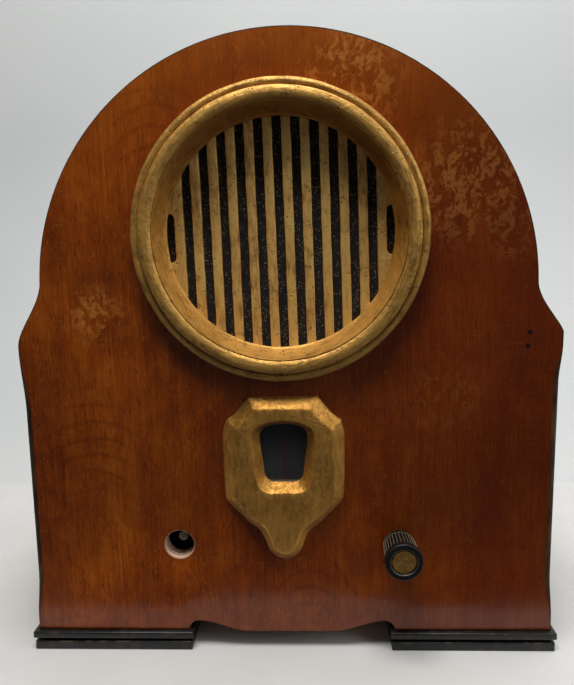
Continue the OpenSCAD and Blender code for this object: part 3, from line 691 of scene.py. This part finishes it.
def foot_rail(node, radius):
    """One painted rail of a foot, its arrises rounded."""
    low, high = (Vector(c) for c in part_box(node))
    shape = bmesh.new()
    bmesh.ops.create_cube(shape, size=1.0)
    bmesh.ops.scale(shape, vec=high - low, verts=shape.verts)
    bmesh.ops.translate(shape, vec=(low + high) / 2, verts=shape.verts)
    if node.endswith("lower"):
        # The rebate that leaves a groove below the upper rail.
        step_h = 5.9 * MM
        rebate = 3.4 * MM
        top = [f for f in shape.faces if f.normal.z > 0.9][0]
        for vertex in top.verts:
            vertex.co.z = low.z + step_h
        bmesh.ops.inset_region(shape, faces=[top], thickness=rebate)
        raised = bmesh.ops.extrude_discrete_faces(shape, faces=[top])["faces"]
        for vertex in raised[0].verts:
            vertex.co.z = high.z
    sharp = [e for e in shape.edges if e.calc_face_angle(0) > 0.8 and e.is_convex]
    bmesh.ops.bevel(shape, geom=sharp, offset=radius, segments=3, profile=0.5, affect="EDGES")
    mesh = bpy.data.meshes.new(node + "_rail")
    shape.to_mesh(mesh)
    shape.free()
    piece = linked(node + "_rail", mesh, [FOOT], 35)
    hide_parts(node)
    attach(piece, "cabinet")


# ---- grille ----
def grille_bezel():
    """The turned ring: a deep well, a wide cove up to a broad ridge, a groove and an outer bead."""
    crest = bezel_lo[1]
    well = FRONT + 7 * MM
    seat_r = GRILLE_R + 7.2 * MM
    lip_y = well - 1.2 * MM
    profile = [(seat_r, FRONT), (seat_r, well), (GRILLE_R, well), (GRILLE_R, lip_y)]
    ridge = 78.4 * MM
    cove_run = ridge - 4.4 * MM - GRILLE_R
    cove_rise = crest + 2.6 * MM - well
    for i in range(1, 15):
        t = i / 14
        profile.append((GRILLE_R + cove_run * t, lip_y + cove_rise * t ** 1.5))
    for i in range(1, 11):
        angle = math.pi * (1 - i / 10)
        profile.append((ridge + 4.2 * MM * math.cos(angle), crest + 2.8 * MM - 2.8 * MM * math.sin(angle)))
    groove = 82.8 * MM
    profile.append((groove, crest + 4.1 * MM))
    bead = 84.9 * MM
    for i in range(11):
        angle = math.radians(140 - 140 * i / 10)
        profile.append((bead + 2.7 * MM * math.cos(angle), crest + 6.0 * MM - 2.8 * MM * math.sin(angle)))
    profile.append((BEZEL_R - 0.5 * MM, FRONT - 2 * MM))
    profile.append((BEZEL_R - 0.3 * MM, FRONT))
    piece = lathe("gilt_grille_ring", (TRIM_X, GRILLE_Z), profile, GILT, 200, wobble=0.25 * MM, sharp=50)
    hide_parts("grille_bezel")
    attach(piece, "cabinet")


def grille_slats():
    """A plate cut through with upright round-ended slots, their sides slightly wavy."""
    pitch = 11.1 * MM
    gap = 5.5 * MM
    end = gap / 2
    lean = math.radians(1.3)
    shaky = random.Random(4)
    end_steps = 6
    side_steps = 18
    loops = [circle(0, 0, GRILLE_R + 6.5 * MM, 96)]
    for i in range(-6, 7):
        x = i * pitch
        # The slot at each side is short.
        half = math.sqrt((GRILLE_R + 3 * MM) ** 2 - x * x) if abs(i) < 6 else 14.5 * MM
        slot = []
        for sign in (1, -1):
            for k in range(end_steps + 1):
                angle = math.pi * k / end_steps
                slot.append((x + sign * end * math.cos(angle), sign * (half - end + end * math.sin(angle))))
            for k in range(1, side_steps):
                edge = -sign * (end + 0.16 * MM * shaky.uniform(-1, 1))
                slot.append((x + edge, sign * (half - end) * (1 - 2 * k / side_steps)))
        loops.append(slot)
    turned = []
    for points in loops:
        turned.append([(TRIM_X + x * math.cos(lean) - z * math.sin(lean),
                        GRILLE_Z + x * math.sin(lean) + z * math.cos(lean)) for x, z in points])

    def arris(x, z, hole):
        return 0.45 * MM, 0.5 * MM

    depth = slats_hi[1] - slats_lo[1]
    section = ((0, 0), (0.35, 0.12), (0.8, 0.5), (1, 1))
    piece = pierced_plate("gilt_grille_slats", turned[0], turned[1:], slats_lo[1], depth, [GILT_SLAT] * 3,
                          arris, section, 60)
    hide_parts("grille_slats")
    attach(piece, "cabinet")


def grille_cloth():
    """The stretched cloth behind the slats, drawn slightly wavy by its weave."""
    radius = (cloth_hi[0] - cloth_lo[0]) / 2
    count = 24
    segments = 96
    rings = []
    for i in range(1, count + 1):
        r = radius * i / count
        ring = []
        for k in range(segments):
            angle = 2 * math.pi * k / segments
            x = TRIM_X + r * math.cos(angle)
            z = GRILLE_Z + r * math.sin(angle)
            sway = 0.25 * MM * noise.noise(Vector((x * 40, 0, z * 40)))
            ring.append((x, cloth_lo[1] + 0.3 * MM + sway * (1 - i / count), z))
        rings.append(ring)
    vertices = [v for ring in rings for v in ring]
    faces = strips(rings)
    faces.append(tuple(range(segments)))
    piece = make_object("woven_grille_cloth", vertices, faces, [CLOTH], sharp=60)
    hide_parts("grille_cloth")
    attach(piece, "cabinet")


# ---- dial ----
# Right half of the shield, from foot to head, in millimetres from the middle of the dial: where it meets
# the panel, and at its front face.
SHIELD_BASE = [(0, -67.8), (3.2, -67.4), (5.8, -66.2), (8.6, -63.8), (10.8, -60.8), (12, -56.5), (13.2, -53),
               (15.3, -49), (18.4, -46.2), (22, -43.8), (24.2, -42), (26, -39.6), (30, -35.6), (35, -30.8),
               (36.6, -27.6), (37.2, -24), (37.6, -7), (37.8, 11), (37.4, 17), (35.5, 23), (31.2, 25.6),
               (27.5, 29.4), (24.6, 33.4), (21.3, 37.8), (10, 37.6), (0, 37.6)]
SHIELD_FACE = [(0, -61.6), (2.2, -61.3), (4, -60.3), (5.6, -58.6), (6.8, -56.4), (7.8, -53), (8.8, -50),
               (10.6, -46.2), (13.4, -43), (17, -40), (19.6, -37.8), (21.6, -35.6), (25, -31.6), (28.6, -28),
               (30.1, -25.6), (30.6, -22.6), (30.7, -7), (30.7, 11), (30.6, 15), (29, 18.4), (25.2, 21.2),
               (21.4, 24.8), (19, 27.8), (17.3, 30.4), (8, 30.9), (0, 31)]
# The corners of both outlines that a sharp ridge joins.
CORNERS = {14, 19, 23}


def opening_half(grow, count):
    """Right half of the window, widened by grow millimetres, in as many points as the shield's outlines."""
    half = [(0, -17 - grow), (7 + grow * 0.6, -17 - grow), (9.6 + grow * 0.9, -16 - grow * 0.8),
            (11.8 + grow, -13.5 - grow * 0.3), (14.9 + grow, 12), (14.2 + grow, 15.5 + grow * 0.2),
            (11.5 + grow * 0.8, 18 + grow * 0.5), (6, 19.6 + grow * 0.8), (0, 20 + grow * 0.8)]
    lengths = [0.0]
    for a, b in zip(half, half[1:]):
        lengths.append(lengths[-1] + math.dist(a, b))
    points = []
    for i in range(count):
        want = lengths[-1] * i / (count - 1)
        k = max(j for j in range(len(half) - 1) if lengths[j] <= want + 1e-9)
        t = (want - lengths[k]) / (lengths[k + 1] - lengths[k])
        points.append(tuple(half[k][n] + (half[k + 1][n] - half[k][n]) * t for n in (0, 1)))
    return points


def dial_escutcheon():
    """The moulded shield: a wide bevel, a slightly domed face and a raised lip round the window."""
    depth = FRONT - shield_lo[1]
    count = len(SHIELD_BASE)

    def blend(a, b, t):
        return [tuple(p + (q - p) * t for p, q in zip(u, v)) for u, v in zip(a, b)]

    lip = opening_half(5.2, count)
    hole = opening_half(0, count)
    # Each outline with its height above the panel, as a share of the shield's thickness.
    layers = [(SHIELD_BASE, 0.0), (SHIELD_BASE, 0.12), (blend(SHIELD_BASE, SHIELD_FACE, 0.5), 0.56),
              (SHIELD_FACE, 0.92), (blend(SHIELD_FACE, lip, 0.5), 0.985), (lip, 0.97),
              (opening_half(3.6, count), 0.70), (opening_half(1.6, count), 0.28), (hole, 0.05), (hole, 0.0)]
    rings = []
    for half, height in layers:
        full = half + [(-x, z) for x, z in reversed(half[1:-1])]
        y = FRONT - depth * height
        ring = []
        for x, z in full:
            px = TRIM_X + x * MM
            pz = DIAL_Z + z * MM
            rough = noise.noise(Vector((px * 190, height * 2, pz * 190))) * 0.45 * MM
            edge = rough if height else 0.0
            ring.append((px + edge * 0.6, min(y + edge * 0.5, FRONT), pz + edge * 0.6))
        rings.append(ring)
    vertices = [v for ring in rings for v in ring]
    piece = make_object("gilt_dial_shield", vertices, strips(rings, loop=True), [GILT_SHIELD], sharp=75)
    crease = piece.data.attributes.new("crease_edge", "FLOAT", "EDGE")
    ring_size = 2 * count - 2
    for edge in piece.data.edges:
        rows = {v // ring_size for v in edge.vertices}
        columns = {min(v % ring_size, ring_size - v % ring_size) for v in edge.vertices}
        ridge = rows <= {1, 2, 3} and len(rows) == 2 and columns <= CORNERS
        crease.data[edge.index].value = 0.95 if rows in ({0}, {1}, {3}, {5}, {9}) or ridge else 0.0
    corner = piece.data.attributes.new("crease_vert", "FLOAT", "POINT")
    for vertex in piece.data.vertices:
        row, column = divmod(vertex.index, ring_size)
        on_ridge = row < 4 and min(column, ring_size - column) in CORNERS
        corner.data[vertex.index].value = 1.0 if on_ridge else 0.0
    subdivide = piece.modifiers.new("smooth", "SUBSURF")
    subdivide.levels = 2
    subdivide.render_levels = 2
    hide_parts("dial_escutcheon")
    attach(piece, "cabinet")


# ---- knob ----
def tuning_knob():
    """Fluted shank, plain rim, and a dished face with a thin light line round it."""
    flutes = 30
    segments = flutes * 10
    back = knob_hi[1]
    face = knob_lo[1]
    length = back - face
    radius = (knob_hi[0] - knob_lo[0]) / 2
    base = 10.1 * MM
    rim = 4.2 * MM
    flute_r = radius - 0.9 * MM
    flute_run = length - rim - 1.2 * MM
    # Radius, depth and share of the full flute at each turn of the profile, from the back to the middle.
    rows = [(shaft_bore(), back, 0), (base - 0.6 * MM, back, 0), (base, back - 0.6 * MM, 0.6)]
    for i in range(9):
        t = i / 8
        rows.append((base + (flute_r - base) * t, back - 0.8 * MM - flute_run * t, 1))
    near = face + rim
    rows += [(flute_r, near + 0.2 * MM, 0.4), (radius - 0.2 * MM, near - 0.1 * MM, 0),
             (radius, near - 0.5 * MM, 0), (radius, near - 0.8 * MM, 0), (radius, face + 1.2 * MM, 0),
             (radius, face + 0.9 * MM, 0), (radius - 0.2 * MM, face + 0.35 * MM, 0),
             (radius - 0.5 * MM, face + 0.05 * MM, 0), (radius - 0.8 * MM, face, 0),
             (radius - 1.1 * MM, face, 0), (8.6 * MM, face, 0), (8.3 * MM, face + 0.04 * MM, 0),
             (8.0 * MM, face + 0.2 * MM, 0), (7.6 * MM, badge_hi[1], 0), (0.2 * MM, badge_hi[1], 0)]
    light_line = len(rows) - 4
    rings = []
    for r, y, cut in rows:
        ring = []
        for k in range(segments):
            angle = 2 * math.pi * k / segments
            wave = 0.5 - 0.5 * math.cos(flutes * angle)
            here = r - cut * 1.05 * MM * wave ** 0.6
            ring.append((RIGHT_X + here * math.cos(angle), y, CONTROL_Z + here * math.sin(angle)))
        rings.append(ring)
    faces = strips(rings)
    kinds = []
    for i in range(len(rings) - 1):
        kinds += [1 if i == light_line else 0] * segments
    vertices = [v for ring in rings for v in ring]
    piece = make_object("fluted_knob", vertices, faces, [KNOB, RIM], kinds, 50)
    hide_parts("tuning_knob")
    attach(piece, "tuning_spindle")


def shaft_bore():
    """Radius of the knob's shaft hole."""
    low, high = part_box("volume_shaft")
    return (high[0] - low[0]) / 2 + 0.02 * MM


def knob_badge():
    """The dull metal disc let into the knob's face, slightly domed."""
    radius = (badge_hi[0] - badge_lo[0]) / 2
    back = badge_hi[1]
    thick = badge_hi[1] - badge_lo[1]
    face_r = radius - 0.25 * MM
    profile = [(0.1 * MM, back), (radius, back), (radius, back - 0.5 * thick), (face_r, back - 0.8 * thick)]
    for i in range(1, 7):
        r = face_r * (1 - i / 6) + 0.1 * MM
        profile.append((r, back - thick * (0.8 + 0.2 * i / 6)))
    piece = lathe("knob_disc", (RIGHT_X, CONTROL_Z), profile, BADGE, 72, sharp=40)
    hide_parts("knob_badge")
    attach(piece, "tuning_spindle")


# ---- the CAD nodes that stay ----
# For each slot: name, light and dark colour, roughness, metallic, grain and any depth of relief.
PLAIN_SLOTS = {
    "plain_wood": ("bare_plywood", (200, 164, 116), (150, 108, 66), 0.7, 0, (30, 4, 30)),
    "fibreboard": ("brown_fibreboard", (112, 78, 48), (74, 48, 28), 0.85, 0, (220, 220, 220), 0.0004),
    "plated_steel": ("plated_steel", (176, 172, 160), (120, 114, 102), 0.34, 1.0, (90, 90, 90)),
    "chassis_steel": ("cadmium_sheet", (168, 164, 150), (112, 106, 92), 0.42, 0.9, (45, 45, 45)),
    "painted_steel": ("dark_stoved_paint", (46, 46, 48), (24, 24, 26), 0.4, 0, (120, 120, 120)),
    "cone_paper": ("cone_paper", (52, 48, 44), (26, 24, 22), 0.9, 0, (300, 300, 300), 0.0004),
    "copper_wire": ("varnished_winding", (168, 96, 44), (108, 54, 22), 0.35, 0.3, (20, 20, 900)),
    "aluminium": ("dull_aluminium", (190, 190, 190), (140, 140, 142), 0.36, 1.0, (70, 70, 70)),
    "cloth_braid": ("cotton_braid", (150, 122, 78), (92, 70, 40), 0.9, 0, (1200, 1200, 1200), 0.0003),
    "grommet_rubber": ("aged_rubber", (44, 42, 40), (24, 23, 22), 0.75, 0, (160, 160, 160)),
    "waxed_card": ("waxed_card", (196, 158, 96), (140, 104, 56), 0.5, 0, (100, 100, 100)),
    "red_paint": ("red_line", (176, 36, 34), (124, 20, 20), 0.6, 0, (200, 200, 200)),
    "brass": ("dull_brass", (176, 142, 78), (120, 92, 46), 0.38, 1.0, (120, 120, 120)),
}


def dress_nodes():
    """Gives each CAD node the look of its material slot."""
    looks = {
        "bakelite": bakelite_look("brown_bakelite", paint(66, 38, 22), paint(30, 17, 11)),
        "dial_card": dial_look(),
        "dial_glass": glass_look("window_pane", paint(190, 205, 220), 0.06, 0.16),
        "valve_glass": glass_look("valve_bulb", paint(220, 228, 228)),
        "veneered_wood": VENEER,
        "gilt_paint": GILT,
        "grille_cloth": CLOTH,
        "black_paint": FOOT,
    }
    for slot, (name, light, dark, *rest) in PLAIN_SLOTS.items():
        looks[slot] = plain_look(name, paint(*light), paint(*dark), *rest)
    for entry in frame["record"]["subparts"]:
        node = frame["nodes"][entry["node"]]
        if not node.data.materials:
            node.data.materials.append(looks[entry["material_slot"]])
        for slot in node.material_slots:
            slot.material = looks[entry["material_slot"]]


# ---- studio ----
def studio():
    """A pale table with a pale wall behind it."""
    floor = Look("pale_floor")
    weave = floor.noise((14, 14, 14), 3)
    colour = floor.ramp(weave, [(0.3, paint(222, 221, 218)), (0.7, paint(228, 227, 225))])
    floor.finish(colour, 0.9, floor.bump(weave, 0.0005, 0.3))
    wall = Look("pale_wall")
    shade = wall.noise((3, 3, 3), 2)
    wall.finish(wall.ramp(shade, [(0.3, paint(214, 217, 217)), (0.7, paint(220, 222, 221))]), 0.95)
    # One sheet: over the table's front edge, flat under the set, curving up behind it into the wall.
    bend = 0.45
    edge = FRONT - 0.048
    flat_end = BACK + 0.10
    path = [(edge - 0.004, -0.7), (edge - 0.004, -0.004), (edge - 0.0012, -0.0012), (edge + 0.003, 0.0),
            (flat_end, 0.0)]
    for i in range(1, 25):
        angle = math.pi / 2 * i / 24
        path.append((flat_end + bend * math.sin(angle), bend * (1 - math.cos(angle))))
    path.append((flat_end + bend, 3.0))
    rings = [[(-3, y, z), (3, y, z)] for y, z in path]
    vertices = [v for ring in rings for v in ring]
    kinds = [0] * 4 + [1] * (len(path) - 5)
    materials = [floor.material, wall.material]
    sheet = make_object("backdrop", vertices, strips(rings, closed=False), materials, kinds, 60)


def lamp(name, at, target, size, power, colour=(1, 1, 1)):
    """A rectangular lamp turned to its target."""
    light = bpy.data.lights.new(name, "AREA")
    light.shape = "RECTANGLE"
    light.size, light.size_y = size
    light.energy = power
    light.color = colour
    holder = bpy.data.objects.new(name, light)
    bpy.context.scene.collection.objects.link(holder)
    holder.location = at
    aim = Vector(target) - Vector(at)
    holder.rotation_euler = aim.to_track_quat("-Z", "Y").to_euler()


def lights():
    """A warm lamp overhead, a cool window to the right, a wash on the wall and a little light all round."""
    lamp("ceiling", (-0.08, -0.46, 1.50), (0, 0.0, 0.2), (0.75, 0.5), 15, (1, 0.985, 0.955))
    lamp("window", (1.5, -0.75, 0.95), (0, 0, 0.2), (1.0, 1.0), 7.5, (0.95, 0.98, 1))
    lamp("wall_wash", (0.4, 0.10, 1.6), (0.2, 0.9, 0.5), (1.6, 0.4), 8)
    world = bpy.data.worlds.new("room")
    bpy.context.scene.world = world
    world.use_nodes = True
    backing = world.node_tree.nodes["Background"]
    backing.inputs[0].default_value = (0.86, 0.9, 1, 1)
    backing.inputs[1].default_value = 0.07


def camera():
    """A close view from in front, level with the grille and looking slightly down."""
    pitch = math.radians(8.37)
    yaw = math.radians(-2.03)
    roll = math.radians(-0.97)
    ahead = Vector((math.sin(yaw) * math.cos(pitch), math.cos(yaw) * math.cos(pitch), -math.sin(pitch)))
    right = Vector((math.cos(yaw), -math.sin(yaw), 0))
    up = right.cross(ahead)
    level = right * math.cos(roll) + up * math.sin(roll)
    upright = up * math.cos(roll) - right * math.sin(roll)
    lens = bpy.data.cameras.new("camera")
    lens.sensor_width = 36
    lens.lens = 34.16
    lens.clip_start = 0.01
    holder = bpy.data.objects.new("camera", lens)
    bpy.context.scene.collection.objects.link(holder)
    turn = Matrix((level, upright, -ahead)).transposed().to_4x4()
    spot = Vector((0.01391, FRONT - 0.38884, 0.25789))
    holder.matrix_world = Matrix.Translation(spot) @ turn
    bpy.context.scene.camera = holder
    bpy.context.scene.view_settings.view_transform = "Standard"


studio()
lights()
camera()
dress_nodes()
front_panel()
cabinet_shell()
for rail in ("foot_left_upper", "foot_right_upper"):
    foot_rail(rail, 1.0 * MM)
for rail in ("foot_left_lower", "foot_right_lower"):
    foot_rail(rail, 0.7 * MM)
grille_bezel()
grille_slats()
grille_cloth()
dial_escutcheon()
tuning_knob()
knob_badge()
